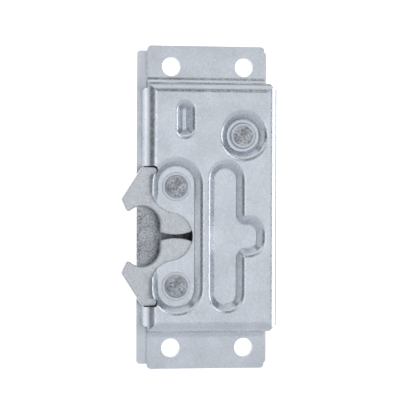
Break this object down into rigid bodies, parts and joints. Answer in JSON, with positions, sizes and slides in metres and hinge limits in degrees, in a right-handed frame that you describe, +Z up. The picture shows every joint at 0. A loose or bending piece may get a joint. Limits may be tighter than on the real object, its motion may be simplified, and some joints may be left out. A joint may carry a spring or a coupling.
{
  "type": "car door latch",
  "caption": "Upright twin-jaw slam latch of zinc-plated steel: pressed box cover on a flat plate, hooked jaws in a side throat, peened pivots and a rear release tab.",
  "frame": {"origin": "centre of the four-hole bolt pattern, on the rear face of the back plate", "axes": "+Z up along the plate, -Y out of the front of the cover, +X away from the throat, to the right when seen from the front"},
  "size_m": [0.0552, 0.0281, 0.1168],
  "materials": {
    "cover_zinc": "pressed sheet steel, clear zinc plating with a fine grain",
    "plate_zinc": "flat sheet steel, clear zinc plating",
    "jaw_zinc": "hardened steel stamping, clear zinc plating",
    "rivet_steel": "peened steel, zinc worn by the peening tool",
    "inner_zinc": "zinc-plated steel",
    "spring_steel": "drawn spring wire, lightly oiled"
  },
  "bodies": {
    "case": {"front_cover": "cover_zinc", "back_plate": "plate_zinc", "upper_jaw_rivet": "rivet_steel", "lower_jaw_rivet": "rivet_steel", "release_rivet": "rivet_steel", "upper_jaw_bush": "inner_zinc", "lower_jaw_bush": "inner_zinc", "release_bush": "inner_zinc", "release_spacer": "inner_zinc", "upper_guide_pin": "inner_zinc", "lower_guide_pin": "inner_zinc", "spring_post": "inner_zinc", "upper_jaw_spring": "spring_steel", "lower_jaw_spring": "spring_steel", "release_spring": "spring_steel"},
    "upper_hook": {"upper_jaw": "jaw_zinc"},
    "lower_hook": {"lower_jaw": "jaw_zinc"},
    "lock": {"lock_slider": "inner_zinc", "slider_stud": "inner_zinc"},
    "lever": {"release_lever": "inner_zinc"}
  },
  "joints": [
    {"name": "upper_jaw_close", "type": "hinge", "parent": "case", "child": "upper_hook", "pos_m": [-0.01265, 0, 0.0073], "axis": [0, -1, 0], "range_deg": [0, 32], "stiffness_Nm_per_rad": 0.15, "springref_deg": -45.84, "deforming": ["upper_jaw_spring"]},
    {"name": "lower_jaw_close", "type": "hinge", "parent": "case", "child": "lower_hook", "pos_m": [-0.01265, 0, -0.028], "axis": [0, 1, 0], "range_deg": [0, 32], "stiffness_Nm_per_rad": 0.15, "springref_deg": -45.84, "deforming": ["lower_jaw_spring"]},
    {"name": "lever_swing", "type": "hinge", "parent": "case", "child": "lever", "pos_m": [0.0111, 0, 0.0255], "axis": [0, 1, 0], "range_deg": [0, 5.11], "stiffness_Nm_per_rad": 0.06, "springref_deg": 45.84, "deforming": ["release_spring"]},
    {"name": "lock_slide", "type": "slide", "parent": "case", "child": "lock", "axis": [-1, 0, 0], "range_m": [0, 0.0032]}
  ],
  "couplings": [
    {"joint": "lock_slide", "follows": "lever_swing", "m_per_rad": 0.03587}
  ]
}
